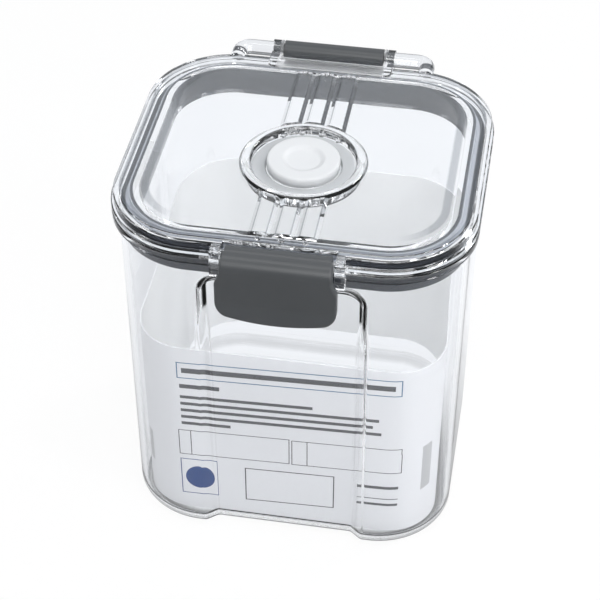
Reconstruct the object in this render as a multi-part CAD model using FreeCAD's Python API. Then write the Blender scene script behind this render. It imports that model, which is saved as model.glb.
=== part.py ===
import FreeCAD, Part
import math
import os
from FreeCAD import Vector

# A clear rounded-square food canister with a hinged, latched lid, a silicone gasket and a push valve.
# Millimetres, +Z up, +Y to the hinge at the rear. The origin is at the centre of the base.

# Plan outline, shared by the body rim and the lid
rim_width = 122.0
rim_depth = 109.0
rim_corner = 30.0

# Body
body_height = 129.5
body_wall = 1.8
floor_thickness = 3.0
rim_overhang = 2.4
rim_height = 3.2
rim_round = 0.6
wall_draft = 0.6
base_round = 3.5
floor_round = 2.0
channel_margin = 4.6
channel_depth = 3.2
channel_top_gap = 7.8
channel_corner = 6.0
channel_lip_round = 0.4
channel_floor_round = 0.4
channel_inner_lip = 0.4
channel_inner_floor = 2.6
base_recess_inset = 15.0
base_recess_depth = 1.0
floor_step_margin = 2.5
floor_step_round = 0.5

# Gasket
gasket_flange = 1.0
gasket_flange_inset = 3.4
gasket_band = 1.3
gasket_web = 1.5
gasket_lip = 0.9
gasket_lip_hang = 2.45
gasket_lip_gap = 0.3
gasket_top_gap = 0.3
gasket_slack = 0.05

# Lid
skirt_height = 5.1
skirt_wall = 2.0
skirt_step = 0.9
skirt_lip_height = 1.7
plateau_inset = 2.85
plateau_step = 0.4
plateau_bevel = 0.2
lid_plate = 2.4
plug_inset = 7.4
plug_wall = 2.0
plug_depth = 6.3
lid_bevel = 0.35

# Raised strips along the lid
strip_count = 3
strip_pitch = 7.75
strip_top = 4.7
strip_slope = 1.2
strip_height = 0.8
strip_front_gap = 3.4
strip_rear_gap = 6.0
knob_diameter = 2.2
knob_rise = 0.45
knob_front_gap = 2.2
knob_rear_gap = 8.0

# Push valve
valve_y = -7.0
valve_ring_outer = 43.0
valve_well = 35.2
valve_bead_height = 0.9
valve_well_depth = 3.4
valve_floor = 2.6
valve_boss_margin = 1.9
seat_slack = 0.1
seat_height = 1.8
seat_bevel = 0.4
button_diameter = 24.6
button_gap = 0.4
button_rise = 3.1
button_round = 1.1
button_travel = 1.4
button_floor_gap = 0.2
button_dimple = 14.4
button_dimple_floor = 8.6
button_dimple_depth = 0.5
stem_diameter = 5.0
stem_slack = 0.3
barb_diameter = 7.6
barb_tip = 4.0
barb_height = 2.4
barb_gap = 0.3
vent_count = 6
vent_diameter = 2.2
vent_circle = 16.0
rib_count = 4
rib_pitch = 22.0
rib_diameter = 2.0
rib_drop = 0.5
rib_margin = 0.2

# Front latch and its pivot on the lid
pivot_gap = 0.4
latch_width = 36.0
latch_setout = 0.7
latch_knuckle = 3.0
knuckle_inset = 0.9
latch_crease = 1.6
latch_shoulder = 5.3
latch_plate = 2.5
latch_flare = 1.7
latch_flare_run = 4.0
latch_ease = 3.0
latch_straight = 14.9
latch_bend_round = 6.0
latch_drop = 18.7
latch_kick = 2.0
latch_bow = 2.2
latch_corner = 5.0
latch_round = 0.8
hook_inset = 3.0
hook_bite = 2.3
hook_gap = 0.2
hook_thickness = 3.2
hook_ramp = 1.9
ear_width = 3.2
ear_reach = 3.7
ear_rise = 0.5
ear_drop = 5.0
ear_back_gap = 0.5
ear_round = 0.55
ear_end_round = 1.5
side_gap = 0.4

# Rear hinge
hinge_width = 36.0
hinge_knuckle = 3.5
hinge_setback = 2.6
hinge_below_top = 1.6
hinge_ear = 3.8
hinge_collar = 2.8
hinge_rod = 2.75
hinge_rod_length = 8.2
hinge_elbow = 3.6
clip_plate = 3.0
clip_drop = 5.6
clip_round = 2.4
pad_depth = 5.2
pad_overlap = 1.0
pad_rise = 0.7
pad_corner = 2.5
pad_bevel = 0.3

# Pins
pin_diameter = 3.0
pin_fit = 0.05
pin_end_gap = 0.2
pin_chamfer = 0.3

# Card sleeve
card_thickness = 0.4
card_gap = 0.2
card_height = 79.1
card_rear_lift = 8.2
card_corner_cut = 4.5

# Levels and places worked out from the sizes above
skirt_z = body_height + gasket_flange
ledge_z = skirt_z + skirt_height
top_z = ledge_z + plateau_step
plate_z = top_z - lid_plate
plug_z = body_height - plug_depth
rim_low = body_height - rim_height
channel_top = rim_low - channel_top_gap
channel_half = rim_width / 2 - rim_corner - channel_margin
well_z = top_z - valve_well_depth
boss_z = well_z - valve_floor
seat_z = well_z + seat_height
button_z = well_z + button_travel + button_floor_gap
button_top = seat_z + button_rise
front_y = -rim_depth / 2 - latch_setout
front_z = body_height + pivot_gap + latch_knuckle
face_y = front_y - latch_crease - latch_shoulder
notch_y = front_y + latch_knuckle + pivot_gap
rear_y = rim_depth / 2 + hinge_setback + hinge_knuckle
rear_z = top_z - hinge_below_top
far = rim_width + rim_depth
touching = 1e-3


def outline(inset, z, rear=0.0, sharper=0.0):
    """Rounded rectangle at height z, drawn in by inset, longer at the rear and with sharper front corners."""
    w = rim_width / 2 - inset
    d = rim_depth / 2 - inset
    k = 1 - math.sqrt(0.5)
    arcs = []
    for turn, (x, y) in enumerate(((w, -d), (w, d + rear), (-w, d + rear), (-w, -d))):
        r = rim_corner - inset - (0.0 if y > 0 else sharper)
        to_x = -r if x > 0 else r
        to_y = -r if y > 0 else r
        ends = [Vector(x + to_x, y, z), Vector(x, y + to_y, z)]
        if turn % 2:
            ends.reverse()
        arcs.append((ends[0], Vector(x + to_x * k, y + to_y * k, z), ends[1]))
    edges = []
    for this, following in zip(arcs, arcs[1:] + arcs[:1]):
        edges.append(Part.Arc(*this).toShape())
        edges.append(Part.LineSegment(this[2], following[0]).toShape())
    return Part.Wire(edges)


def slab(inset, low, high):
    return Part.Face(outline(inset, low)).extrude(Vector(0, 0, high - low))


def ring(outer, inner, low, high):
    return slab(outer, low, high).cut(slab(inner, low, high))


def taper(inset_low, low, inset_high, high, *shaping):
    return Part.makeLoft([outline(inset_low, low, *shaping), outline(inset_high, high, *shaping)], True, True)


def level_edges(shape, z):
    """Edges that lie in the level plane at height z."""
    return [e for e in shape.Edges if max(abs(e.BoundBox.ZMin - z), abs(e.BoundBox.ZMax - z)) < touching]


def upright_edges(shape, y):
    """Upright edges that stand at the depth y."""
    found = []
    for edge in shape.Edges:
        bounds = edge.BoundBox
        if bounds.ZLength > touching and max(abs(bounds.YMin - y), abs(bounds.YMax - y)) < touching:
            found.append(edge)
    return found


def shared_edges(shape, one, other, above):
    """Edges of shape that lie on the surfaces of two solids and rise over the level above."""
    skins = [one.Shells[0], other.Shells[0]]
    found = []
    for edge in shape.Edges:
        points = [Part.Vertex(p) for p in edge.discretize(3)]
        on_both = all(skin.distToShape(p)[0] < touching for skin in skins for p in points)
        if on_both and edge.BoundBox.ZMax > above + touching:
            found.append(edge)
    return found


def box(x0, x1, y0, y1, z0, z1):
    return Part.makeBox(x1 - x0, y1 - y0, z1 - z0, Vector(x0, y0, z0))


def rod(radius, x0, x1, y, z):
    return Part.makeCylinder(radius, x1 - x0, Vector(x0, y, z), Vector(1, 0, 0))


def post(radius, z0, z1, x=0.0, y=valve_y):
    return Part.makeCylinder(radius, z1 - z0, Vector(x, y, z0))


def lathe(edges):
    """Solid of an outline in the XZ plane, turned about the valve's axis."""
    shape = Part.Face(Part.Wire(edges)).revolve(Vector(0, 0, 0), Vector(0, 0, 1), 360)
    shape.translate(Vector(0, valve_y, 0))
    return shape


def run(points):
    """Straight edges in the XZ plane from each point to the next."""
    ends = [Vector(x, 0, z) for x, z in points]
    return [Part.LineSegment(a, b).toShape() for a, b in zip(ends, ends[1:])]


def across(points, half_width):
    """Prism along X of a closed YZ outline, where a pair of points is an arc's middle and end."""
    edges = []
    here = Vector(0, *points[0])
    for step in points[1:] + points[:1]:
        if isinstance(step[0], tuple):
            there = Vector(0, *step[1])
            edges.append(Part.Arc(here, Vector(0, *step[0]), there).toShape())
        else:
            there = Vector(0, *step)
            edges.append(Part.LineSegment(here, there).toShape())
        here = there
    face = Part.Face(Part.Wire(edges))
    face.translate(Vector(-half_width, 0, 0))
    return face.extrude(Vector(2 * half_width, 0, 0))


def wall_inset(z):
    return rim_overhang + wall_draft * (1 - z / body_height)


def tub(extra, low):
    """Drafted block inside the body's outer wall by extra, from the level low to above the rim."""
    high = body_height + gasket_flange
    return taper(wall_inset(low) + extra, low, wall_inset(high) + extra, high)


def channel_slot(grow):
    """Slot from the front to the middle, with round upper corners, for the channel in the front wall."""
    half = channel_half + grow
    top = channel_top + grow
    block = box(-half, half, -far, 0, -far, top)
    corners = [e for e in level_edges(block, top) if e.BoundBox.YLength > rim_depth]
    return block.makeFillet(channel_corner + grow, corners)


def channelled(extra, low, round_radius, grow, lip_radius, floor_radius):
    """Drafted block with the front channel, whose edges are rounded, and with its bottom edge rounded."""
    under = low - round_radius
    block = tub(extra, under)
    core = tub(extra + channel_depth, under)
    slot = channel_slot(grow)
    shape = block.cut(slot.cut(core)).removeSplitter()
    shape = shape.makeFillet(lip_radius, shared_edges(shape, slot, block, under))
    shape = shape.makeFillet(floor_radius, shared_edges(shape, slot, core, under))
    base = tub(extra, low)
    return shape.common(base.makeFillet(round_radius, level_edges(base, low)))


def make_body():
    outside = channelled(0, 0, base_round, 0, channel_lip_round, channel_floor_round)
    outside = outside.common(slab(0, 0, body_height))
    rim = slab(0, rim_low, body_height)
    rim = rim.makeFillet(rim_round, level_edges(rim, body_height) + level_edges(rim, rim_low))
    inner_rounds = (channel_inner_lip, channel_inner_floor)
    cavity = channelled(body_wall, floor_thickness, floor_round, body_wall, *inner_rounds)
    recess = slab(base_recess_inset, 0, base_recess_depth)
    step = slab(base_recess_inset + floor_step_margin, floor_thickness, floor_thickness + base_recess_depth)
    step = step.makeFillet(floor_step_round, level_edges(step, floor_thickness + base_recess_depth))
    return outside.fuse(rim).cut(cavity).cut(recess).fuse(step).removeSplitter()


def make_gasket():
    inner = plug_inset - gasket_slack
    band = plug_inset - gasket_band
    low = plug_z + gasket_slack
    lip = wall_inset(plug_z) + body_wall + gasket_lip_gap
    shape = ring(band, inner, low, plate_z - gasket_top_gap)
    shape = shape.fuse(ring(gasket_flange_inset, inner, body_height, skirt_z))
    shape = shape.fuse(ring(lip, inner, low, low + gasket_web))
    shape = shape.fuse(ring(lip, lip + gasket_lip, low - gasket_lip_hang, low + gasket_web))
    return shape.removeSplitter()


def make_strip(x):
    y0 = -rim_depth / 2 + plateau_inset + strip_front_gap
    y1 = rim_depth / 2 - plateau_inset - strip_rear_gap
    half = strip_top / 2 + strip_slope
    wires = []
    for shrink, z in ((0, top_z), (strip_slope, top_z + strip_height)):
        a = x - half + shrink
        b = x + half - shrink
        c = y0 + shrink
        d = y1 - shrink
        corners = [Vector(a, c, z), Vector(b, c, z), Vector(b, d, z), Vector(a, d, z)]
        wires.append(Part.makePolygon(corners + corners[:1]))
    return Part.makeLoft(wires, True, True)


def knob(x, y, base):
    """Low round knob on the lid, narrower at its top."""
    r = knob_diameter / 2
    foot = post(r, base - plateau_step, base, x, y)
    return foot.fuse(Part.makeCone(r, r - knob_rise, knob_rise, Vector(x, y, base)))


def make_knobs():
    """Knobs on each strip near the hinge pad and before its front end."""
    front = -rim_depth / 2 + plateau_inset + knob_front_gap
    rear = rim_depth / 2 - plateau_inset - knob_rear_gap
    shapes = []
    for i in range(strip_count):
        x = (i - (strip_count - 1) / 2) * strip_pitch
        shapes += [knob(x, front, top_z), knob(x, rear, top_z + strip_height)]
    return shapes


def make_ribs():
    """Short round ribs on the rear side of the valve well."""
    reach = valve_well / 2
    shapes = []
    for i in range(rib_count):
        angle = math.radians(90 + (i - (rib_count - 1) / 2) * rib_pitch)
        x = reach * math.cos(angle)
        y = valve_y + reach * math.sin(angle)
        shapes.append(post(rib_diameter / 2, seat_z + rib_margin, top_z - rib_drop, x, y))
    return shapes


def valve_bead():
    """Raised ring round the valve well, with an arched top."""
    inner = valve_well / 2
    outer = valve_ring_outer / 2
    crest = Vector((inner + outer) / 2, 0, top_z + valve_bead_height)
    arch = Part.Arc(Vector(inner, 0, top_z), crest, Vector(outer, 0, top_z)).toShape()
    return lathe([arch] + run([(outer, top_z), (outer, plate_z), (inner, plate_z), (inner, top_z)]))


def latch_notch():
    """Gap in the lid's front edge between the ears, for the latch's knuckle."""
    half = latch_width / 2 + side_gap
    return box(-half, half, -far, notch_y, 0, far)


def front_ears():
    """Two ears that hold the latch's pin, each hanging below the skirt in front of the body's rim."""
    inner = latch_width / 2 + side_gap
    front = front_y - ear_reach
    back = -rim_depth / 2 + skirt_step + skirt_wall
    high = ledge_z + ear_rise
    low = skirt_z - ear_drop
    ear_back = -rim_depth / 2 + ear_back_gap
    shapes = []
    for x0 in (-inner - ear_width, inner):
        x1 = x0 + ear_width
        neck = box(x0, x1, front, ear_back, skirt_z, high)
        neck = neck.makeFillet(ear_width / 2 - ear_round, upright_edges(neck, ear_back))
        neck = neck.makeFillet(ear_round, level_edges(neck, high))
        lobe = box(x0, x1, front, -rim_depth / 2 - side_gap, low, ledge_z)
        ends = [e for e in level_edges(lobe, low) if e.BoundBox.XLength > touching]
        lobe = lobe.makeFillet(ear_end_round, ends)
        shapes += [neck, lobe, box(x0, x1, front_y, back, skirt_z, ledge_z)]
    return shapes


def rear_bars():
    """Two hinge ears, each carried on by a round rod that bends back into the lid's rim."""
    inner = hinge_width / 2 + side_gap
    ear_end = inner + hinge_ear
    rod_end = ear_end + hinge_rod_length
    rim_y = rim_depth / 2 - skirt_step - skirt_wall
    ledge_y = rim_depth / 2
    pad_rear = ledge_y - plateau_inset + pad_overlap
    pad_front = pad_rear - pad_overlap - pad_depth
    shape = box(-ear_end, ear_end, rim_y, ledge_y, skirt_z, ledge_z)
    shape = shape.makeFillet(ear_round, [e for e in shape.Edges if e.BoundBox.YMin > ledge_y - touching])
    pad = box(-ear_end, ear_end, pad_front, pad_rear, plate_z, top_z + pad_rise)
    pad = pad.makeFillet(pad_corner, upright_edges(pad, pad_front))
    pad = pad.makeChamfer(pad_bevel, level_edges(pad, top_z + pad_rise))
    shape = shape.fuse(pad)
    ear = rod(hinge_knuckle, inner, ear_end, rear_y, rear_z)
    ear = ear.fuse(box(inner, ear_end, rim_y, rear_y, rear_z - hinge_rod, ledge_z))
    arm = rod(hinge_rod, ear_end, rod_end, rear_y, rear_z)
    bend_y = rear_y - hinge_elbow
    section = Part.makeCircle(hinge_rod, Vector(rod_end, rear_y, rear_z), Vector(1, 0, 0))
    bend = Part.Face(Part.Wire(section)).revolve(Vector(rod_end, bend_y, rear_z), Vector(0, 0, 1), -90)
    tail_x = rod_end + hinge_elbow
    tail = Part.makeCylinder(hinge_rod, bend_y - rim_y, Vector(tail_x, rim_y, rear_z), Vector(0, 1, 0))
    bore = rod(hinge_collar + pin_fit, inner, ear_end - pin_end_gap, rear_y, rear_z)
    bar = ear.fuse([arm, bend, tail]).cut(bore)
    return shape.fuse([bar, bar.mirror(Vector(0, 0, 0), Vector(1, 0, 0))])


def make_lid():
    upper = slab(skirt_step, skirt_z, ledge_z)
    upper = upper.makeChamfer(lid_bevel, level_edges(upper, ledge_z))
    lip_z = skirt_z + skirt_lip_height
    lip = slab(0, skirt_z, lip_z)
    lip = lip.makeChamfer(lid_bevel, level_edges(lip, skirt_z) + level_edges(lip, lip_z))
    plateau = slab(plateau_inset, plate_z, top_z)
    plateau = plateau.makeChamfer(plateau_bevel, level_edges(plateau, top_z))
    edge = upper.fuse(lip).cut(latch_notch())
    shape = edge.fuse([plateau, rear_bars()] + front_ears())
    half = latch_width / 2 + side_gap
    reach = half + ear_width
    shape = shape.cut(rod(pin_diameter / 2 + pin_fit, -reach, reach, front_y, front_z))
    shape = shape.cut(slab(skirt_step + skirt_wall, skirt_z, plate_z))
    notch_wall = box(-half, half, notch_y, notch_y + skirt_wall, skirt_z, plate_z + lid_bevel)
    shape = shape.fuse([ring(plug_inset, plug_inset + plug_wall, plug_z, plate_z + lid_bevel), notch_wall])
    shape = shape.fuse([make_strip((i - (strip_count - 1) / 2) * strip_pitch) for i in range(strip_count)])
    shape = shape.fuse(make_knobs())
    shape = shape.cut(post(valve_ring_outer / 2, top_z, far))
    boss = post(valve_well / 2 + valve_boss_margin, boss_z, top_z)
    shape = shape.fuse([valve_bead(), boss]).cut(post(valve_well / 2, well_z, far))
    shape = shape.fuse(make_ribs())
    shape = shape.cut(post(stem_diameter / 2 + stem_slack, boss_z, well_z))
    for i in range(vent_count):
        angle = 2 * math.pi * i / vent_count
        x = vent_circle / 2 * math.cos(angle)
        y = valve_y + vent_circle / 2 * math.sin(angle)
        shape = shape.cut(post(vent_diameter / 2, boss_z, well_z, x, y))
    return shape.removeSplitter()


def latch_side():
    """Latch plate seen from the side: a round shoulder, a straight fall and an end that is kicked out."""
    s = math.sqrt(0.5)
    top_y = front_y - latch_crease
    top = front_z + math.sqrt(latch_knuckle ** 2 - latch_crease ** 2)
    hub = top - latch_shoulder
    bend_z = front_z - latch_straight
    low_z = front_z - latch_drop - latch_bow
    inner_y = face_y + latch_plate
    under = latch_shoulder - latch_plate
    outline_points = [(top_y, top), ((top_y - latch_shoulder * s, hub + latch_shoulder * s), (face_y, hub)),
                      (face_y, bend_z), (face_y - latch_kick, low_z), (inner_y - latch_kick, low_z),
                      (inner_y, bend_z), (inner_y, hub),
                      ((top_y - under * s, hub + under * s), (top_y, hub + under))]
    prism = across(outline_points, latch_width / 2 + latch_flare)
    return prism.makeFillet(latch_bend_round, level_edges(prism, bend_z))


def latch_front():
    """Latch plate seen from the front: straight by the ears, then wider to a bowed end with round corners."""
    half = latch_width / 2
    wide = half + latch_flare
    tip_z = front_z - latch_drop
    flare_z = front_z - latch_knuckle
    left = [Vector(-half, 0, front_z + latch_knuckle), Vector(-half, 0, flare_z),
            Vector(-wide, 0, flare_z - latch_flare_run), Vector(-wide, 0, tip_z)]
    right = [Vector(-p.x, 0, p.z) for p in reversed(left)]
    edges = [Part.LineSegment(a, b).toShape() for a, b in zip(left, left[1:])]
    edges.append(Part.Arc(left[-1], Vector(0, 0, tip_z - latch_bow), right[0]).toShape())
    edges += [Part.LineSegment(a, b).toShape() for a, b in zip(right, right[1:] + left[:1])]
    face = Part.Face(Part.Wire(edges))
    face.translate(Vector(0, -far, 0))
    prism = face.extrude(Vector(0, 2 * far, 0))
    for z, radius in ((tip_z, latch_corner), (flare_z, latch_ease), (flare_z - latch_flare_run, latch_ease)):
        prism = prism.makeFillet(radius, [e for e in level_edges(prism, z) if e.BoundBox.YLength > far])
    return prism


def outer_edges(plate):
    """Edges round the outer face of the latch plate, without its upper end."""
    found = []
    for edge in shared_edges(plate, latch_side(), latch_front(), -far):
        here = edge.CenterOfMass
        behind = Vector(here.x * (1 - touching), here.y + latch_plate / 2, here.z + touching)
        if plate.isInside(behind, touching, True) and edge.BoundBox.ZMin < front_z - touching:
            found.append(edge)
    return found


def hook_bar(root_y, tip_y, over_z, half):
    """Hook from a plate to the depth tip_y, just under an edge at the height over_z."""
    slope = 2 * hook_bite if root_y > tip_y else -2 * hook_bite
    top = over_z - hook_gap
    low = top - hook_thickness
    nose = [(tip_y, top), (tip_y, low + hook_ramp), (tip_y + slope, low)]
    return across([(root_y, top)] + nose + [(root_y, low - hook_ramp)], half)


def make_latch():
    half = latch_width / 2
    plate = latch_side().common(latch_front())
    plate = plate.makeFillet(latch_round, outer_edges(plate))
    knuckle = rod(latch_knuckle, knuckle_inset - half, half - knuckle_inset, front_y, front_z)
    tip_y = -rim_depth / 2 + wall_inset(channel_top) + hook_bite
    hook = hook_bar(face_y + latch_plate / 4, tip_y, channel_top, half - hook_inset)
    bore = rod(pin_diameter / 2 + pin_fit, -half, half, front_y, front_z)
    return knuckle.fuse([plate, hook]).cut(bore).removeSplitter()


def make_clip():
    half = hinge_width / 2
    inner_y = rear_y - clip_plate
    low = rim_low - clip_drop
    plate = box(-half, half, inner_y, rear_y, low, rear_z)
    lower = [e for e in level_edges(plate, low) if e.BoundBox.YMin > rear_y - touching]
    plate = plate.makeFillet(clip_round, lower)
    knuckle = rod(hinge_knuckle, -half, half, rear_y, rear_z)
    tip_y = rim_depth / 2 - wall_inset(rim_low) + hook_gap
    hook = hook_bar(rear_y - clip_plate / 2, tip_y, rim_low, half - hook_inset)
    bore = rod(pin_diameter / 2 + pin_fit, -half, half, rear_y, rear_z)
    return knuckle.fuse([plate, hook]).cut(bore).removeSplitter()


def make_pin(reach, y, z):
    shape = rod(pin_diameter / 2, -reach, reach, y, z)
    return shape.makeChamfer(pin_chamfer, shape.Edges)


def make_hinge_pin():
    """Pin with a wide collar at each end, inside the lid's rear ears."""
    inner = hinge_width / 2 + side_gap + pin_end_gap
    reach = hinge_width / 2 + side_gap + hinge_ear - 2 * pin_end_gap
    collars = []
    for x0 in (-reach, inner):
        collar = rod(hinge_collar, x0, x0 + reach - inner, rear_y, rear_z)
        collars.append(collar.makeChamfer(pin_chamfer, collar.Edges))
    return rod(pin_diameter / 2, -reach, reach, rear_y, rear_z).fuse(collars).removeSplitter()


def make_button():
    r = button_diameter / 2
    s = stem_diameter / 2
    shoulder = button_top - button_round
    dish_z = button_top - button_dimple_depth
    barb_top = boss_z - barb_gap
    barb_low = barb_top - barb_height
    k = button_round * (1 - math.sqrt(0.5))
    dish = run([(0, dish_z), (button_dimple_floor / 2, dish_z), (button_dimple / 2, button_top),
                (r - button_round, button_top)])
    rounding = Part.Arc(Vector(r - button_round, 0, button_top), Vector(r - k, 0, button_top - k),
                        Vector(r, 0, shoulder)).toShape()
    under = run([(r, shoulder), (r, button_z), (s, button_z), (s, barb_top), (barb_diameter / 2, barb_top),
                 (barb_tip / 2, barb_low), (0, barb_low), (0, dish_z)])
    return lathe(dish + [rounding] + under)


def make_seat():
    outer = valve_well / 2 - seat_slack
    inner = button_diameter / 2 + button_gap
    shape = post(outer, well_z, seat_z).cut(post(inner, well_z, seat_z))
    return shape.makeChamfer(seat_bevel, level_edges(shape, seat_z))


def make_card():
    """Sleeve on the floor, just clear of the channel's inner face and the rear wall, raised at the rear."""
    extra = body_wall + channel_depth + card_gap
    low = floor_thickness + card_gap
    high = low + card_height + card_rear_lift
    skins = []
    for more in (extra, extra + card_thickness):
        insets = (wall_inset(low) + more, low, wall_inset(high) + more, high)
        skins.append(taper(*insets, channel_depth, card_corner_cut))
    front = -rim_depth / 2 + wall_inset(low) + extra
    rear = rim_depth / 2 - wall_inset(low) - extra + channel_depth
    lower = [(front, low), (rear, low + card_rear_lift)]
    upper = [(y, z + card_height) for y, z in reversed(lower)]
    return skins[0].cut(skins[1]).common(across(lower + upper, far))


def main():
    os.makedirs("parts", exist_ok=True)
    pieces = {
        "canister_body": make_body(),
        "lid_gasket": make_gasket(),
        "lid_shell": make_lid(),
        "front_latch": make_latch(),
        "latch_pin": make_pin(latch_width / 2 + side_gap + ear_width - pin_end_gap, front_y, front_z),
        "hinge_clip": make_clip(),
        "hinge_pin": make_hinge_pin(),
        "valve_button": make_button(),
        "valve_seat": make_seat(),
        "insert_card": make_card(),
    }
    for name, shape in pieces.items():
        print(name, "solids", len(shape.Solids), "valid", shape.isValid(), "volume", round(shape.Volume, 1))
        shape.exportStep("parts/" + name + ".step")


main()
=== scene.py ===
import math
import bpy
import numpy as np
from mathutils import Matrix, Vector


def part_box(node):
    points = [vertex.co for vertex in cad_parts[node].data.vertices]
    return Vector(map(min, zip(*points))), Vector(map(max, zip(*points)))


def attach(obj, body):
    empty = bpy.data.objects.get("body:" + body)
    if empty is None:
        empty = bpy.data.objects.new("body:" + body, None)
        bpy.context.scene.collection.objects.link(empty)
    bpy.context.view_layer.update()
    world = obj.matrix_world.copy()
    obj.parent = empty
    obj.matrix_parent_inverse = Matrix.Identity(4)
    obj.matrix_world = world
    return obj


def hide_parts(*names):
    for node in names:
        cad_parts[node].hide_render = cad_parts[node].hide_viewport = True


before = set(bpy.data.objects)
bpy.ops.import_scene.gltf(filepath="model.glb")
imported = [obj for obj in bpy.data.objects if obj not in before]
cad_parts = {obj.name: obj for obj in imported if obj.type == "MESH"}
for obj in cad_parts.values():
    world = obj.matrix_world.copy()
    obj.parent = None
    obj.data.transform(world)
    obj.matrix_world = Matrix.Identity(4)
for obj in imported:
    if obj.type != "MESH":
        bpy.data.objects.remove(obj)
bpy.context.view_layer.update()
mm = 0.001
print("frame loaded:", len(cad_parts), "nodes")


# shader wiring

class Wire:  # one socket of a node tree; arithmetic on it adds Math nodes
    def __init__(self, tree, socket=None):
        self.tree = tree
        self.socket = socket

    def node(self, kind, settings=(), inputs=(), out=0):  # any node: type, settings, then sockets
        made = self.tree.nodes.new(kind)
        for key, value in dict(settings).items():
            if key == "stops":
                fillRamp(made.color_ramp, value)
            else:
                setattr(made, key, value)
        for key, value in dict(inputs).items():
            if isinstance(value, Wire):
                self.tree.links.new(value.socket, made.inputs[key])
            else:
                made.inputs[key].default_value = value
        return Wire(self.tree, made.outputs[out] if made.outputs else None)

    def side(self, out):  # another output of the same node
        return Wire(self.tree, self.socket.node.outputs[out])

    def math(self, operation, other=0.0, swap=False):
        pair = (other, self) if swap else (self, other)
        return self.node("ShaderNodeMath", {"operation": operation}, {0: pair[0], 1: pair[1]})

    def __add__(self, other):
        return self.math("ADD", other)

    def __radd__(self, other):
        return self.math("ADD", other, True)

    def __sub__(self, other):
        return self.math("SUBTRACT", other)

    def __rsub__(self, other):
        return self.math("SUBTRACT", other, True)

    def __mul__(self, other):
        return self.math("MULTIPLY", other)

    def __rmul__(self, other):
        return self.math("MULTIPLY", other, True)

    def __truediv__(self, other):
        return self.math("DIVIDE", other)

    def __rtruediv__(self, other):
        return self.math("DIVIDE", other, True)

    def __abs__(self):
        return self.math("ABSOLUTE")

    def under(self, limit):  # 1 where the value is below the limit
        return self.math("LESS_THAN", limit)

    def over(self, limit):  # 1 where the value is above the limit
        return self.math("GREATER_THAN", limit)

    def atMost(self, other):
        return self.math("MINIMUM", other)

    def atLeast(self, other):
        return self.math("MAXIMUM", other)

    def span(self, ends, values=(0.0, 1.0), soft=False):  # runs from one value to another between two ends
        return self.node("ShaderNodeMapRange", {"interpolation_type": "SMOOTHSTEP" if soft else "LINEAR"},
                         {0: self, 1: ends[0], 2: ends[1], 3: values[0], 4: values[1]})

    def near(self, width):  # 1 where the value is close to zero, and 0 a width away
        return abs(self).span((width / 2, width), (1.0, 0.0), True)


rampTint = (0.94, 0.97, 1.0)  # greys of a ramp are slightly cool


def fillRamp(ramp, stops):
    while len(ramp.elements) < len(stops):
        ramp.elements.new(1.0)
    for element, (place, shade) in zip(ramp.elements, stops):
        tint = rampTint if shade < 1.0 else (1.0, 1.0, 1.0)
        element.position = place
        element.color = (tint[0] * shade, tint[1] * shade, tint[2] * shade, 1.0)


def newMaterial(name):
    material = bpy.data.materials.new(name)
    material.use_nodes = True
    tree = material.node_tree
    tree.nodes.clear()
    return material, Wire(tree)


def finishMaterial(wire, shader):
    wire.node("ShaderNodeOutputMaterial", {}, {"Surface": shader})


def mixColours(wire, factor, first, second):
    return wire.node("ShaderNodeMix", {"data_type": "RGBA"}, {0: factor, 6: first, 7: second}, 2)


def mixShaders(wire, factor, first, second):
    return wire.node("ShaderNodeMixShader", {}, {0: factor, 1: first, 2: second})


def noise(wire, where, scale, detail):
    return wire.node("ShaderNodeTexNoise", {}, {"Vector": where, "Scale": scale, "Detail": detail})


def objectPlace(wire):
    return wire.node("ShaderNodeTexCoord", {}, {}, "Object")


def sides(wire, where):  # the three parts of a place
    x = wire.node("ShaderNodeSeparateXYZ", {}, {0: where})
    return x, x.side("Y"), x.side("Z")


def bump(wire, height, strength, distance):
    return wire.node("ShaderNodeBump", {}, {"Strength": strength, "Distance": distance, "Height": height})


def outlineDistance(x, y, halfX, halfY, corner):  # distance from a rounded rectangle, negative inside
    across = abs(x) - (halfX - corner)
    along = abs(y) - (halfY - corner)
    overX = across.atLeast(0.0)
    overY = along.atLeast(0.0)
    return (overX * overX + overY * overY).math("SQRT") + across.atLeast(along).atMost(0.0) - corner


# rim and channel of the body, in millimetres, for its surface and for the painted shade lines in the clear
# plastic
rimSpec = {"halfX": 61.0, "halfY": 54.5, "corner": 30.0}
channelSpec = {"half": 26.4, "top": 118.5, "corner": 6.0, "depth": 3.2}
rimOutline = {key: size * mm for key, size in rimSpec.items()}

# clear styrene plastic: moulded, polished, with a faint flow ripple and a few hazy rubs
clearSpec = {"ior": 1.55, "tint": (0.982, 0.989, 1.0, 1), "shadow": (0.985, 0.988, 0.99, 1), "gloss": 0.012,
             "haze": 0.03, "rubScale": 160.0, "rubDetail": 5.0, "rubStops": [(0.55, 0.0), (0.8, 1.0)],
             "rippleScale": 45.0, "rippleDetail": 1.0, "ripple": 0.012, "rippleDepth": 0.001}
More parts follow.
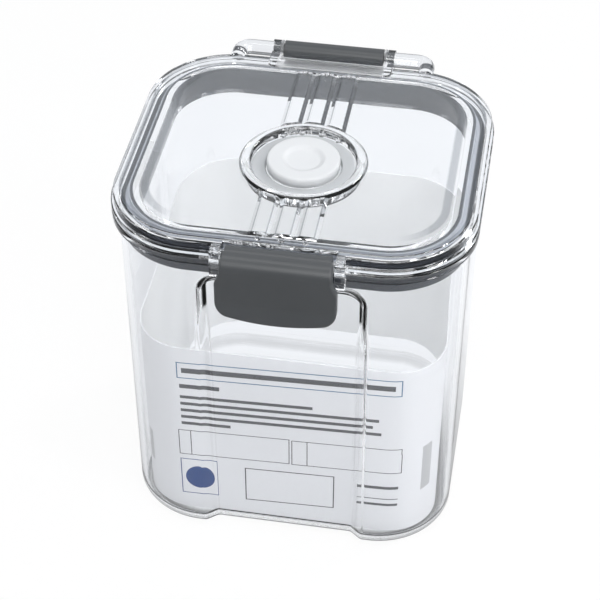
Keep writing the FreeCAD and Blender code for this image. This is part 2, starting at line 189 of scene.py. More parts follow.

# painted shade in the lid's clear plastic: grey and dark lines standing in for refraction at its edges, in
# metres
lidPaintedShadeSpec = {"line": (0.42, 0.44, 0.47, 1), "dark": (0.012, 0.013, 0.016, 1), "low": 0.1355,
            "ringInset": 0.0114, "ringLine": 0.0018, "ringSides": (0.036, 0.046),
            "edgeInset": 0.0036, "edgeLine": 0.0008,
            "stripPitch": 0.00775, "stripHalf": 0.00235, "stripFoot": 0.00355, "stripLine": 0.0003,
            "stripReach": 0.0116, "stripLow": 0.1363,
            "valveY": -0.007, "valveClear": 0.0222,
            "beadOut": 0.0212, "beadIn": 0.0179, "beadLine": 0.0005, "beadLow": 0.1358, "beadShade": 0.75,
            "padHalf": 0.0192, "padFront": 0.0464, "padLow": 0.1330, "padHaze": 0.3,
            "skirtInset": 0.0015, "skirtLine": 0.001867, "skirtLow": 0.1325, "skirtHigh": 0.1350,
            "skirtFade": (-0.042, -0.030),
            "rodSide": 0.0196, "rodFront": 0.0565, "rodY": 0.0606, "rodZ": 0.1344, "rodTilt": (0.66, 0.75),
            "rodEdge": (0.0021, 0.0026), "rodCore": 0.15}

# painted shade in the body's clear plastic: a black line standing in for refraction at the channel's upper
# edge, and a dark line round the foot, in metres
bodyPaintedShadeSpec = {"step": (0.0, 0.0, 0.0, 1), "stepLine": 0.0007, "stepShift": 0.00045,
             "stepFade": (0.1035, 0.105), "channelTall": 0.1, "front": -0.045,
             "foot": (0.012, 0.014, 0.018, 1), "footHeight": 0.0013, "footShadeWidth": 0.0015,
             "footInset": 0.010, "footFade": (-0.01, 0.02), "footRear": 0.3}


def lidPaintedShade(wire, where):  # mask and colour of the lid's painted shade (grey and dark lines standing in for refraction, and a grey tint over the hinge rods), and the haze of its hinge pad
    spec = lidPaintedShadeSpec
    x, y, z = sides(wire, where)
    inset = 0.0 - outlineDistance(x, y, **rimOutline)
    ring = (inset - spec["ringInset"]).near(spec["ringLine"]) * abs(x).span(spec["ringSides"])
    edge = (inset - spec["edgeInset"]).near(spec["edgeLine"])
    edges = ring.atLeast(edge) * z.over(spec["low"])

    fromValve = y - spec["valveY"]
    reach = (x * x + fromValve * fromValve).math("SQRT")
    fromStrip = abs(x - (x / spec["stripPitch"]).math("ROUND") * spec["stripPitch"])
    strips = (fromStrip - spec["stripHalf"]).near(spec["stripLine"])
    strips = strips.atLeast((fromStrip - spec["stripFoot"]).near(spec["stripLine"]))
    strips = strips * abs(x).under(spec["stripReach"]) * reach.over(spec["valveClear"])
    strips = strips * z.over(spec["stripLow"])

    pad = abs(x).under(spec["padHalf"]) * y.over(spec["padFront"]) * z.over(spec["padLow"])

    skirt = (inset - spec["skirtInset"]).near(spec["skirtLine"]) * y.span(spec["skirtFade"], (1.0, 0.0))
    skirt = skirt * z.over(spec["skirtLow"]) * z.under(spec["skirtHigh"])

    rod = abs(x).over(spec["rodSide"]) * y.over(spec["rodFront"])
    across = (y - spec["rodY"]) * spec["rodTilt"][0] + (z - spec["rodZ"]) * spec["rodTilt"][1]
    outline = rod * abs(across).span(spec["rodEdge"])

    paintedGlintAndShade = (reach - spec["beadOut"]).near(spec["beadLine"])
    paintedGlintAndShade = paintedGlintAndShade.atLeast((reach - spec["beadIn"]).near(spec["beadLine"]))
    paintedGlintAndShade = paintedGlintAndShade * z.over(spec["beadLow"]) * spec["beadShade"]

    # painted shade: darkest lines at the skirt, the rod outlines and the valve bead; a faint grey over the
    # rods
    dark = skirt.atLeast(outline).atLeast(paintedGlintAndShade)
    mask = (edges.atLeast(strips) * (1.0 - pad)).atLeast(dark).atLeast(rod * spec["rodCore"])
    return mask, mixColours(wire, dark, spec["line"], spec["dark"]), pad * spec["padHaze"]


def bodyPaintedShade(wire, where):  # mask and colour of the body's painted shade, along the channel's upper edge and round the foot; no haze
    spec = bodyPaintedShadeSpec
    x, y, z = sides(wire, where)
    half, top, bend = (channelSpec[key] * mm for key in ("half", "top", "corner"))
    tall = spec["channelTall"]
    away = outlineDistance(x, z - top + tall, half, tall, bend)
    step = (away + spec["stepShift"]).near(spec["stepLine"])
    step = step * z.span(spec["stepFade"]) * y.under(spec["front"])
    # painted shade: a dark line round the foot, fading towards the rear
    foot = (z - spec["footHeight"]).near(spec["footShadeWidth"])
    foot = foot * outlineDistance(x, y, **rimOutline).over(-spec["footInset"])
    foot = foot * y.span(spec["footFade"], (1.0, spec["footRear"]))
    return step.atLeast(foot), mixColours(wire, foot, spec["step"], spec["foot"]), 0.0


def clearPlastic(name, detail):
    spec = clearSpec
    material, wire = newMaterial(name)
    where = objectPlace(wire)
    # detail gives the painted shade: a mask and colour of grey and dark lines standing in for refraction,
    # mixed into Base Color, and a frost for roughness
    mask, shade, frost = detail(wire, where)
    rubs = wire.node("ShaderNodeValToRGB", {"stops": spec["rubStops"]},
                     {"Fac": noise(wire, where, spec["rubScale"], spec["rubDetail"])})
    flow = noise(wire, where, spec["rippleScale"], spec["rippleDetail"])
    plastic = wire.node("ShaderNodeBsdfPrincipled", {}, {
        "Base Color": mixColours(wire, mask, spec["tint"], shade),
        "Transmission Weight": 1.0, "IOR": spec["ior"],
        "Roughness": spec["gloss"] + spec["haze"] * rubs + frost,
        "Normal": bump(wire, flow, spec["ripple"], spec["rippleDepth"])})
    through = wire.node("ShaderNodeBsdfTransparent", {}, {"Color": spec["shadow"]})
    shadowRay = wire.node("ShaderNodeLightPath", {}, {}, "Is Shadow Ray")
    finishMaterial(wire, mixShaders(wire, shadowRay, plastic, through))
    return material


# dark grey latch plastic: fine moulded grain and a soft gloss
greySpec = {"colour": (0.056, 0.060, 0.064, 1), "worn": (0.066, 0.070, 0.075, 1), "ior": 1.53,
            "gloss": 0.30, "glossCloud": 0.08, "cloudScale": 90.0, "cloudDetail": 4.0,
            "grainScale": 3200.0, "grainDetail": 1.0, "grain": 0.05, "grainDepth": 0.0002}


def greyPlastic():
    spec = greySpec
    material, wire = newMaterial("greyPlastic")
    where = objectPlace(wire)
    cloud = noise(wire, where, spec["cloudScale"], spec["cloudDetail"])
    grain = noise(wire, where, spec["grainScale"], spec["grainDetail"])
    plastic = wire.node("ShaderNodeBsdfPrincipled", {}, {
        "Base Color": mixColours(wire, cloud, spec["colour"], spec["worn"]),
        "Roughness": spec["gloss"] + spec["glossCloud"] * cloud, "IOR": spec["ior"],
        "Normal": bump(wire, grain, spec["grain"], spec["grainDepth"])})
    finishMaterial(wire, plastic)
    return material


# silicone: satin skin with a faint cloud in its colour; the gasket has a painted highlight, a pale line
# along its flange
siliconeSpec = {"ior": 1.43, "cloudScale": 140.0, "cloudDetail": 3.0, "glossCloud": 0.1,
                "skinScale": 1800.0, "skinDetail": 2.0, "skin": 0.06, "skinDepth": 0.0002,
                "softReach": 0.0012}
gasketSpec = {"name": "gasketSilicone", "gloss": 0.45, "soft": 0.0,
              "colour": (0.026, 0.031, 0.040, 1), "pale": (0.031, 0.037, 0.047, 1),
              # painted highlight: a pale line along the gasket's flange
              "paintedGlintAndShade": {"inset": 0.0056, "line": 0.001, "low": 0.1290, "colour": (0.34, 0.36, 0.40, 1)}}
whiteSpec = {"name": "whiteSilicone", "colour": (0.66, 0.67, 0.685, 1), "pale": (0.69, 0.70, 0.715, 1),
             "gloss": 0.4, "soft": 0.05}
seatSpec = {"name": "seatSilicone", "colour": (0.45, 0.465, 0.48, 1), "pale": (0.48, 0.495, 0.51, 1),
            "gloss": 0.45, "soft": 0.0}


def silicone(piece):
    spec = siliconeSpec
    material, wire = newMaterial(piece["name"])
    where = objectPlace(wire)
    cloud = noise(wire, where, spec["cloudScale"], spec["cloudDetail"])
    skin = noise(wire, where, spec["skinScale"], spec["skinDetail"])
    tone = mixColours(wire, cloud, piece["colour"], piece["pale"])
    paintedGlintAndShade = piece.get("paintedGlintAndShade")
    if paintedGlintAndShade:
        x, y, z = sides(wire, where)
        # painted highlight on the gasket: a pale line along its flange
        ring = (outlineDistance(x, y, **rimOutline) + paintedGlintAndShade["inset"]).near(paintedGlintAndShade["line"])
        tone = mixColours(wire, ring * z.over(paintedGlintAndShade["low"]), tone, paintedGlintAndShade["colour"])
    rubber = wire.node("ShaderNodeBsdfPrincipled", {}, {
        "Base Color": tone, "Roughness": piece["gloss"] + spec["glossCloud"] * cloud, "IOR": spec["ior"],
        "Subsurface Weight": piece["soft"], "Subsurface Radius": (spec["softReach"],) * 3,
        "Subsurface Scale": 1.0,
        "Normal": bump(wire, skin, spec["skin"], spec["skinDepth"])})
    finishMaterial(wire, rubber)
    return material


bodyClear = clearPlastic("clearBody", bodyPaintedShade)
lidClear = clearPlastic("clearLid", lidPaintedShade)
grey = greyPlastic()
gasketRubber = silicone(gasketSpec)
whiteRubber = silicone(whiteSpec)
seatRubber = silicone(seatSpec)
print("materials made")


# surfaces

def surface(name, points, closeAcross, closeAlong, uv=None):  # grid of points to a smooth quad mesh
    rows, cols = points.shape[:2]
    r = np.arange(rows if closeAlong else rows - 1)
    c = np.arange(cols if closeAcross else cols - 1)
    i, j = np.meshgrid(r, c, indexing="ij")
    i2 = (i + 1) % rows
    j2 = (j + 1) % cols
    quads = np.stack([i * cols + j, i * cols + j2, i2 * cols + j2, i2 * cols + j], -1).reshape(-1, 4)
    mesh = bpy.data.meshes.new(name)
    mesh.vertices.add(rows * cols)
    mesh.vertices.foreach_set("co", points.reshape(-1).astype(np.float32))
    mesh.loops.add(quads.size)
    mesh.loops.foreach_set("vertex_index", quads.reshape(-1).astype(np.int32))
    mesh.polygons.add(len(quads))
    mesh.polygons.foreach_set("loop_start", np.arange(0, quads.size, 4, dtype=np.int32))
    mesh.polygons.foreach_set("use_smooth", np.ones(len(quads), dtype=bool))
    mesh.update(calc_edges=True)
    if uv is not None:
        layer = mesh.uv_layers.new(name="UVMap")
        u, v = uv
        corners = np.stack([np.stack([u[i, j], v[i, j]], -1), np.stack([u[i, j + 1], v[i, j]], -1),
                            np.stack([u[i, j + 1], v[i2, j]], -1), np.stack([u[i, j], v[i2, j]], -1)], 2)
        layer.data.foreach_set("uv", corners.reshape(-1).astype(np.float32))
    mesh.validate()
    piece = bpy.data.objects.new(name, mesh)
    bpy.context.scene.collection.objects.link(piece)
    return piece


def roundedLoop(halfX, halfY, front, rear, perSide, perCorner):
    # Rounded rectangle from the middle of the rear, anticlockwise: straight runs and quarter circles, with
    # one radius at the front and another at the rear.
    fx = halfX - front
    fy = halfY - front
    rx = halfX - rear
    ry = halfY - rear
    lines = [(0, halfY, -rx, halfY), (-halfX, ry, -halfX, -fy), (-fx, -halfY, fx, -halfY),
             (halfX, -fy, halfX, ry), (rx, halfY, 0, halfY)]
    corners = [(-rx, ry, 90, rear), (-fx, -fy, 180, front), (fx, -fy, 270, front), (rx, ry, 0, rear)]
    xs = []
    ys = []
    for k, (x0, y0, x1, y1) in enumerate(lines):
        t = np.linspace(0, 1, perSide, endpoint=False)
        xs.append(x0 + (x1 - x0) * t)
        ys.append(y0 + (y1 - y0) * t)
        if k < len(corners):
            ox, oy, start, radius = corners[k]
            a = np.radians(np.linspace(start, start + 90, perCorner, endpoint=False))
            xs.append(ox + radius * np.cos(a))
            ys.append(oy + radius * np.sin(a))
    return np.concatenate(xs), np.concatenate(ys)


# clear body, in millimetres: a wall with a rim, and a channel that is crisp at the top and soft at the base
bodySpec = {"height": 129.5, "wall": 1.8, "overhang": 2.4, "draft": 0.6,
            "rim": 3.2, "rimRound": 0.6, "lipRound": 0.3, "baseRound": 3.5, "floor": 3.0, "floorRound": 2.0,
            "recess": 15.0, "recessDepth": 1.0, "step": 17.5, "stepRound": 0.5,
            "heights": (0.0, 94.0, 106.0), "outerWidth": (5.6, 4.0, 0.9), "innerWidth": (5.6, 4.0, 2.2),
            "innerShift": (0.7, 0.85, 0.9), "innerRise": 0.5,
            "wallRows": (8, 16, 28, 40, 52, 64, 76, 86, 92, 96, 99, 102, 104, 106, 108),
            "closeRows": (110.6, 121.0), "rimRows": (122.5, 124.5),
            "closeFrom": 19.8, "closeTo": 29.4, "closeStep": 0.12,
            "perFront": 8, "perSide": 8, "perCorner": 24, "perRear": 6, "perRound": 9, "sharp": 60}


def wallInset(z):  # in from the rim by the overhang, and by the draft towards the base
    return bodySpec["overhang"] + bodySpec["draft"] * (1 - z / bodySpec["height"])


def bodyLoop(inset):
    # Rounded rectangle drawn in by the inset. Past the corner's radius its corners are sharp, and at half
    # the depth of the rim it is a line across the middle.
    spec = bodySpec
    radius = max(rimSpec["corner"] - inset, 0.0)
    cx = rimSpec["halfX"] - inset - radius
    cy = rimSpec["halfY"] - inset - radius
    straight = rimSpec["halfX"] - rimSpec["corner"]
    plain = np.linspace(0, spec["closeFrom"], spec["perFront"], endpoint=False)
    close = np.arange(spec["closeFrom"], spec["closeTo"], spec["closeStep"])
    half = np.concatenate([plain, close, [spec["closeTo"]]])
    front = np.concatenate([-half[:0:-1], half]) * cx / straight
    side = np.linspace(-1, 1, spec["perSide"], endpoint=False) * cy
    bend = np.radians(np.linspace(0, 90, spec["perCorner"], endpoint=False))
    rear = np.linspace(0, 1, spec["perRear"], endpoint=False) * cx
    x = [-rear, -cx - radius * np.sin(bend), np.full_like(side, -cx - radius), -cx - radius * np.cos(bend),
         [-cx], front, cx + radius * np.sin(bend), np.full_like(side, cx + radius),
         cx + radius * np.cos(bend), cx - rear]
    y = [np.full_like(rear, cy + radius), cy + radius * np.cos(bend), -side, -cy - radius * np.sin(bend),
         [-cy - radius], np.full_like(front, -cy - radius), -cy - radius * np.cos(bend), side,
         cy + radius * np.sin(bend), np.full_like(rear, cy + radius)]
    return np.concatenate(x), np.concatenate(y)


def channelShift(x, z, inner):
    # Depth times a smooth step of the distance inside the channel, a strip with two rounded upper corners.
    spec = bodySpec
    width = np.interp(z, spec["heights"], spec["innerWidth" if inner else "outerWidth"])
    grow = np.interp(z, spec["heights"], spec["innerShift"]) if inner else 0.0
    rise = spec["innerRise"] if inner else 0.0
    bend = channelSpec["corner"]
    across = np.abs(x) - (channelSpec["half"] + grow - bend)
    up = np.full_like(x, z - (channelSpec["top"] + rise - bend))
    away = np.hypot(np.maximum(across, 0), np.maximum(up, 0)) + np.minimum(np.maximum(across, up), 0) - bend
    t = np.clip(0.5 - away / width, 0, 1)
    return channelSpec["depth"] * t * t * (3 - 2 * t)


def makeBody():
    # Loops from the middle of the base, out and up the outer wall, over the rim and down the inner wall to
    # the floor. Each row holds an inset, a height, whether it is inside, and its share of the channel.
    spec = bodySpec
    top = spec["height"]
    under = top - spec["rim"]
    middle = rimSpec["halfY"]
    arc = np.radians(np.linspace(0, 90, spec["perRound"]))
    soft = spec["baseRound"]
    lip = spec["rimRound"]
    edge = spec["lipRound"]
    bowl = spec["floorRound"]
    step = spec["step"]
    nose = spec["stepRound"]
    floor = spec["floor"]
    close = np.arange(*spec["closeRows"], spec["closeStep"])
    wall = np.concatenate([spec["wallRows"], close, spec["rimRows"]])
    foot = wallInset(0.0)
    inside = wallInset(top) + spec["wall"]
    well = wallInset(floor) + spec["wall"]
    raised = floor + spec["recessDepth"]
    rows = [(middle, spec["recessDepth"], False, 0.0), (spec["recess"], spec["recessDepth"], False, 0.0),
            (spec["recess"], 0.0, False, 0.0)]
    rows += [(foot + soft * (1 - math.sin(a)), soft * (1 - math.cos(a)), False, 1.0) for a in arc]
    rows += [(wallInset(z), z, False, 1.0) for z in wall] + [(wallInset(under), under, False, 1.0)]
    rows += [(lip * (1 - math.sin(a)), under + lip * (1 - math.cos(a)), False, 1.0) for a in arc]
    rows += [(lip * (1 - math.cos(a)), top - lip * (1 - math.sin(a)), False, 1.0) for a in arc]
    rows += [(inside - edge * (1 - math.sin(a)), top - edge * (1 - math.cos(a)), True, 1.0) for a in arc]
    rows += [(wallInset(z) + spec["wall"], z, True, 1.0) for z in wall[::-1]]
    rows += [(well + bowl * (1 - math.cos(a)), floor + bowl * (1 - math.sin(a)), True, 1.0) for a in arc]
    rows += [(step, floor, True, 0.0)]
    rows += [(step + nose * (1 - math.cos(a)), raised - nose * (1 - math.sin(a)), True, 0.0) for a in arc]
    rows += [(middle, raised, True, 0.0)]
    loops = []
    for inset, z, inner, share in rows:
        x, y = bodyLoop(inset)
        y = y + np.where(y < 0, share * channelShift(x, z, inner), 0)
        loops.append(np.stack([x, y, np.full_like(x, z)], -1))
    piece = surface("clear_canister", np.array(loops) * mm, True, False)
    piece.data.set_sharp_from_angle(angle=math.radians(spec["sharp"]))
    piece.data.materials.append(bodyClear)
    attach(piece, "body")
    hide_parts("canister_body")
    print("body surface:", len(piece.data.polygons), "faces")


makeBody()


# printed card sleeve, in millimetres; u runs along the sleeve from the middle of the front, v is the height
cardSpec = {"thickness": 0.4, "draft": 0.0046, "frontCorner": 17.3, "rearCorner": 21.8, "height": 79.1,
            "perSide": 8, "perCorner": 14, "sharp": 40, "innerMark": 1000.0,
            "paper": (0.72, 0.725, 0.745, 1), "fleck": (0.69, 0.695, 0.715, 1),
            # painted light: the inner face is paler than the same paper's front, and paler still towards
            # the bottom
            "inside": (0.76, 0.765, 0.77, 1), "insidePaintedLightLow": (0.93, 0.935, 0.94, 1),
            "insidePaintedLightFade": (0.02, 0.08), "paintedSlotShade": (0.42, 0.425, 0.435, 1),
            "ink": (0.02, 0.021, 0.024, 1), "rule": (0.07, 0.072, 0.078, 1), "blue": (0.05, 0.14, 0.25, 1),
            "deepBlue": (0.0, 0.035, 0.17, 1), "ior": 1.46, "gloss": 0.5, "glossFibre": 0.12,
            "fibreScale": 900.0, "fibreDetail": 4.0, "fibre": 0.05, "fibreDepth": 0.0002}

# plain print on the card, and two grey bars of painted shade at its sides: frames with a line width, and
# filled boxes, as left, right, low and high
printSpec = {"slant": 0.038,
             "blue": [(-37.2, 40.3, 69.6, 77.1, 0.4)],
             "ink": [(-37.7, 1.9, 32.0, 44.4, 0.3), (2.6, 41.4, 31.8, 44.0, 0.3),
                     (-14.3, 18.0, 11.2, 27.8, 0.4), (-33.5, -33.2, 32.0, 44.4, 0.3),
                     (8.0, 8.3, 31.8, 44.0, 0.3)],
             "rules": [(-35.5, 38.0, 72.2, 74.5), (-36.5, -22.5, 64.9, 66.8), (-36.5, 10.0, 60.0, 61.4),
                       (-36.5, 33.0, 56.8, 58.2), (-36.5, 31.0, 53.6, 55.0), (-36.5, 34.0, 50.4, 51.8),
                       (-36.5, -19.0, 47.2, 48.6), (27.0, 40.5, 23.6, 25.0), (27.0, 40.5, 18.3, 18.7),
                       (27.0, 40.5, 15.0, 16.2)],
             "discFrame": [(-37.6, -24.4, 11.8, 29.8, 0.35)],
             "disc": (-31.0, 20.6, 5.0, 5.6),  # middle and half sizes
             # painted shade, not print: grey bars at the card's sides, for a shadowed slot on the right and
             # a faint painted reflection on the left
             "slots": [(49.0, 53.4, 19.5, 41.5), (-53.0, -50.0, 21.0, 36.0)]}


def boxMask(u, v, u0, u1, v0, v1):  # 1 inside a rectangle
    inU = abs(u - (u0 + u1) / 2).under((u1 - u0) / 2)
    return inU * abs(v - (v0 + v1) / 2).under((v1 - v0) / 2)


def frameMask(u, v, u0, u1, v0, v1, line):  # 1 on a rectangle's outline
    return boxMask(u, v, u0, u1, v0, v1) - boxMask(u, v, u0 + line, u1 - line, v0 + line, v1 - line)


def cardMaterial():
    spec = cardSpec
    material, wire = newMaterial("printedCard")
    around, height = sides(wire, wire.node("ShaderNodeUVMap", {"uv_map": "UVMap"}))[:2]
    u = around * (1 / mm)
    v = height * (1 / mm) - u * printSpec["slant"]
    blue = sum(frameMask(u, v, *spot) for spot in printSpec["blue"])
    ink = sum(frameMask(u, v, *spot) for spot in printSpec["ink"])
    rules = sum(boxMask(u, v, *spot) for spot in printSpec["rules"])
    slots = sum(boxMask(u, v, *spot) for spot in printSpec["slots"])
    midU, midV, halfU, halfV = printSpec["disc"]
    fromU = (u - midU).math("POWER", 2.0) / halfU ** 2
    fromV = (v - midV).math("POWER", 2.0) / halfV ** 2
    disc = (fromU + fromV).under(1.0) + sum(frameMask(u, v, *spot) for spot in printSpec["discFrame"])
    fibre = noise(wire, objectPlace(wire), spec["fibreScale"], spec["fibreDetail"])
    colour = mixColours(wire, fibre, spec["paper"], spec["fleck"])
    # painted light on the inner face: paler than the front, and paler towards the bottom
    plain = mixColours(wire, height.span(spec["insidePaintedLightFade"]), spec["insidePaintedLightLow"], spec["inside"])
    colour = mixColours(wire, abs(u).over(spec["innerMark"] / 2), colour, plain)
    # print, and the grey side bars as painted shade
    for mask, tone in ((slots, "paintedSlotShade"), (rules, "rule"), (ink, "ink"), (blue, "blue"), (disc, "deepBlue")):
        colour = mixColours(wire, mask.atMost(1.0), colour, spec[tone])
    paper = wire.node("ShaderNodeBsdfPrincipled", {}, {
        "Base Color": colour, "Roughness": spec["gloss"] + spec["glossFibre"] * fibre, "IOR": spec["ior"],
        "Normal": bump(wire, fibre, spec["fibre"], spec["fibreDepth"])})
    finishMaterial(wire, paper)
    return material


def makeCard():
    # Rounded loops up the outside and down the inside; the height rises from front to rear by the lift.
    spec = cardSpec
    low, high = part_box("insert_card")
    middle = (low.y + high.y) / 2
    front = spec["frontCorner"] * mm
    rear = spec["rearCorner"] * mm
    wall = spec["thickness"] * mm
    tall = spec["height"] * mm
    lift = high.z - low.z - tall
    steps = [0.0, 0.5, 1.0]
    rows = [(0.0, t) for t in steps] + [(wall, t) for t in reversed(steps)]
    loops = []
    us = []
    vs = []
    for inset, t in rows:
        flat = low.z + tall * t
        drawn = inset + spec["draft"] * tall * (1 - t)
        x, y = roundedLoop(high.x - drawn, (high.y - low.y) / 2 - drawn, front - inset, rear - inset,
                           spec["perSide"], spec["perCorner"])
        rise = lift * (y + middle - low.y) / (high.y - low.y)
        loops.append(np.stack([x, y + middle, flat + rise], -1))
        step = np.hypot(np.diff(x, append=x[:1]), np.diff(y, append=y[:1]))
        along = np.concatenate([[0.0], np.cumsum(step)])
        far = spec["innerMark"] * mm if inset else 0.0  # a far u marks the inside
        us.append(along - along[-1] / 2 + far)
        vs.append(np.full_like(along, flat))
    piece = surface("card_sleeve", np.array(loops), True, True, (np.array(us), np.array(vs)))
    piece.data.set_sharp_from_angle(angle=math.radians(spec["sharp"]))
    piece.data.materials.append(cardMaterial())
    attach(piece, "body")
    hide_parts("insert_card")


makeCard()


# white push button, in millimetres: a lathe profile with a soft dish in its top
buttonSpec = {"round": 0.8, "dish": 7.6, "floor": 5.2, "depth": 0.95, "rim": 0.6, "side": 3.2, "under": 3.3,
              "tuck": 0.3, "stem": 2.5, "stemLow": 5.0, "pole": 0.001,
              "perDish": 17, "perRound": 9, "around": 96}


def makeButton():
    # Profile from the middle of the dish over the rim and down to the stem, turned about the button's axis.
    spec = buttonSpec
    low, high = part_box("valve_button")
    centre = (low + high) / 2
    r = (high.x - low.x) / 2 / mm
    bend = spec["round"]
    dish = spec["dish"]
    floor = spec["floor"]
    depth = spec["depth"]
    t = np.linspace(0, 1, spec["perDish"])
    ease = (1 - np.cos(np.pi * t)) / 2
    arc = np.linspace(math.pi / 2, 0, spec["perRound"])
    radius = np.concatenate([[spec["pole"], floor / 2], floor + (dish - floor) * t,
                             [r - bend - spec["rim"]], r - bend + bend * np.cos(arc),
                             [r, r - spec["tuck"], spec["stem"], spec["stem"]]]) * mm
    height = np.concatenate([[-depth, -depth], -depth + depth * ease, [0.0], -bend + bend * np.sin(arc),
                             [-spec["side"], -spec["under"], -spec["under"], -spec["stemLow"]]]) * mm
    turn = np.linspace(0, 2 * math.pi, spec["around"], endpoint=False)
    x = centre.x + radius[:, None] * np.cos(turn)
    y = centre.y + radius[:, None] * np.sin(turn)
    z = np.broadcast_to(high.z + height[:, None], x.shape)
    piece = surface("push_button", np.stack([x, y, z], -1)[::-1], True, False)
    piece.data.materials.append(whiteRubber)
    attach(piece, "valve")
    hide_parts("valve_button")


makeButton()
print("card and button made")


# finishes of the carried-over pieces
finishes = {"lid_shell": lidClear, "latch_pin": lidClear, "lid_gasket": gasketRubber,
            "front_latch": grey, "hinge_clip": grey, "hinge_pin": grey, "valve_seat": seatRubber}
for nodeName, material in finishes.items():
    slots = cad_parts[nodeName].data.materials
    slots.clear()
    slots.append(material)
print("finishes set")


# stage: white floor that keeps a soft shadow and carries a painted shadow line round the canister's foot,
# dark surround with a bright top, soft lamps
stageSpec = {"size": 8.0, "floor": (0.9, 0.9, 0.9, 1), "white": (1, 1, 1, 1),
             "cool": (0.965, 0.978, 1.0, 1), "floorShare": 0.9, "throughShare": 0.9,
             "near": 1.0, "far": 1.8, "flag": 0.03, "mirror": 0.18, "mirrorFade": (-0.06, 0.08),
             "foot": {"halfX": 0.0540, "halfY": 0.0475, "corner": 0.0235},
             "footShadeWidth": 0.004, "footShade": 0.95, "footFade": (0.0, 0.03), "footRear": 0.3,
             "dome": 1.2, "rear": (0.72, 0.93),
             "around": [(0.0, 0.01), (0.28, 0.015), (0.5, 0.33), (1.0, 0.45)],
             "back": [(0.0, 0.3), (0.3, 0.4), (0.45, 0.8), (0.85, 0.8), (1.0, 0.4)], "bounces": 24}


def glow(wire, colour, strength):
    return wire.node("ShaderNodeEmission", {}, {"Color": colour, "Strength": strength})


def makeFloor():  # each kind of ray sees white, the light through the clear walls, or a mirror's dim floor
    spec = stageSpec
    material, wire = newMaterial("paleFloor")
    path = wire.node("ShaderNodeLightPath")
    where = objectPlace(wire)
    x, y = sides(wire, where)[:2]
    reach = wire.node("ShaderNodeVectorMath", {"operation": "LENGTH"}, {0: where}, 1)
    away = reach.span((spec["near"], spec["far"]), soft=True)
    fromFoot = abs(outlineDistance(x, y, **spec["foot"]))
    # painted shadow: a dark line on the floor round the canister's foot, seen only through the clear walls,
    # fading towards the rear
    line = fromFoot.span((0.0, spec["footShadeWidth"]), (spec["footShade"], 0.0), True)
    line = line * y.span(spec["footFade"], (1.0, spec["footRear"]))
    clear = glow(wire, spec["cool"], 1.0)
    white = glow(wire, spec["white"], 1.0)
    through = mixShaders(wire, away.atLeast(line), clear, glow(wire, spec["white"], spec["flag"]))
    dim = glow(wire, spec["white"], spec["mirror"])
    mirrored = mixShaders(wire, y.span(spec["mirrorFade"]), dim, clear)
    passing = path.side("Is Transmission Ray")
    shader = wire.node("ShaderNodeBsdfDiffuse", {}, {"Color": spec["floor"]})
    shader = mixShaders(wire, path.side("Is Camera Ray") * spec["floorShare"], shader, white)
    shader = mixShaders(wire, passing * spec["throughShare"], shader, through)
    shader = mixShaders(wire, path.side("Is Glossy Ray") * (1.0 - passing), shader, mirrored)
    finishMaterial(wire, shader)
    half = spec["size"] / 2
    mesh = bpy.data.meshes.new("floor")
    corners = [(-half, -half, 0), (half, -half, 0), (half, half, 0), (-half, half, 0)]
    mesh.from_pydata(corners, [], [(0, 1, 2, 3)])
    mesh.materials.append(material)
    floor = bpy.data.objects.new("floor", mesh)
    bpy.context.scene.collection.objects.link(floor)


def makeDome():  # white to the camera; else a dark surround that brightens upwards, with a paler rear
    spec = stageSpec
    world = bpy.data.worlds.new("studio")
    bpy.context.scene.world = world
    world.use_nodes = True
    tree = world.node_tree
    tree.nodes.clear()
    wire = Wire(tree)
    seen = wire.node("ShaderNodeLightPath", {}, {}, "Is Camera Ray")
    x, y, z = sides(wire, wire.node("ShaderNodeTexCoord", {}, {}, "Generated"))
    level = (x * x + y * y).math("SQRT")
    around = wire.node("ShaderNodeValToRGB", {"stops": spec["around"]}, {"Fac": z})
    back = wire.node("ShaderNodeValToRGB", {"stops": spec["back"]}, {"Fac": z})
    dome = mixColours(wire, (y / level).span(spec["rear"], soft=True), around, back)
    sky = wire.node("ShaderNodeBackground", {}, {"Color": dome, "Strength": spec["dome"]})
    plain = wire.node("ShaderNodeBackground", {}, {"Color": spec["white"], "Strength": 1.0})
    wire.node("ShaderNodeOutputWorld", {}, {"Surface": mixShaders(wire, seen, sky, plain)})


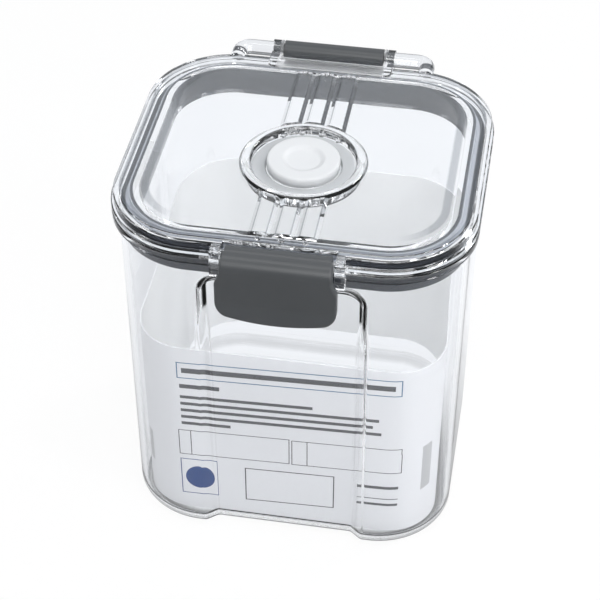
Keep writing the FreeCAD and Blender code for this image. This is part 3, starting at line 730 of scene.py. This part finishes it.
lamps = {"top": {"place": (-0.05, -0.1, 0.9), "aim": (0, 0, 0.1), "size": (0.9, 0.16), "power": 1.3},
         "key": {"place": (0.5, 0.5, 0.75), "aim": (0, 0, 0.12), "size": (0.22, 0.22), "power": 2.2},
         "front": {"place": (0.25, -0.85, 0.95), "aim": (0, 0, 0.08), "size": (0.9, 0.5), "power": 6.0},
         "left": {"place": (-0.85, -0.3, 0.5), "aim": (0, 0, 0.08), "size": (0.2, 0.8), "power": 2.4},
         "right": {"place": (0.85, -0.4, 0.45), "aim": (0, 0, 0.08), "size": (0.2, 0.8), "power": 3.6}}


def makeLamps():
    for name, spec in lamps.items():
        data = bpy.data.lights.new(name, "AREA")
        data.shape = "RECTANGLE"
        data.size, data.size_y = spec["size"]
        data.energy = spec["power"]
        lamp = bpy.data.objects.new(name, data)
        lamp.location = spec["place"]
        aim = Vector(spec["aim"]) - Vector(spec["place"])
        lamp.rotation_euler = aim.to_track_quat("-Z", "Y").to_euler()
        bpy.context.scene.collection.objects.link(lamp)


# camera at the photograph's viewing angle
cameraSpec = {"azimuth": 9.54, "elevation": 41.2, "roll": 0.1, "lens": 107.0, "sensor": 36.0, "clip": 0.01,
              "place": (0.0780, -0.4779, 0.4925)}


def makeCamera():
    a = math.radians(cameraSpec["azimuth"])
    e = math.radians(cameraSpec["elevation"])
    back = Vector((math.sin(a) * math.cos(e), -math.cos(a) * math.cos(e), math.sin(e)))
    data = bpy.data.cameras.new("camera")
    data.lens = cameraSpec["lens"]
    data.sensor_width = cameraSpec["sensor"]
    data.clip_start = cameraSpec["clip"]
    camera = bpy.data.objects.new("camera", data)
    roll = Matrix.Rotation(math.radians(cameraSpec["roll"]), 3, "Z")
    turn = (-back).to_track_quat("-Z", "Y").to_matrix() @ roll
    camera.matrix_world = Matrix.Translation(cameraSpec["place"]) @ turn.to_4x4()
    bpy.context.scene.collection.objects.link(camera)
    bpy.context.scene.camera = camera


makeFloor()
makeDome()
makeLamps()
makeCamera()
bpy.context.scene.view_settings.view_transform = "Standard"
for kind in ("max_bounces", "transmission_bounces", "glossy_bounces"):  # clear walls turn light many times
    setattr(bpy.context.scene.cycles, kind, stageSpec["bounces"])
print("stage, lamps and camera made")
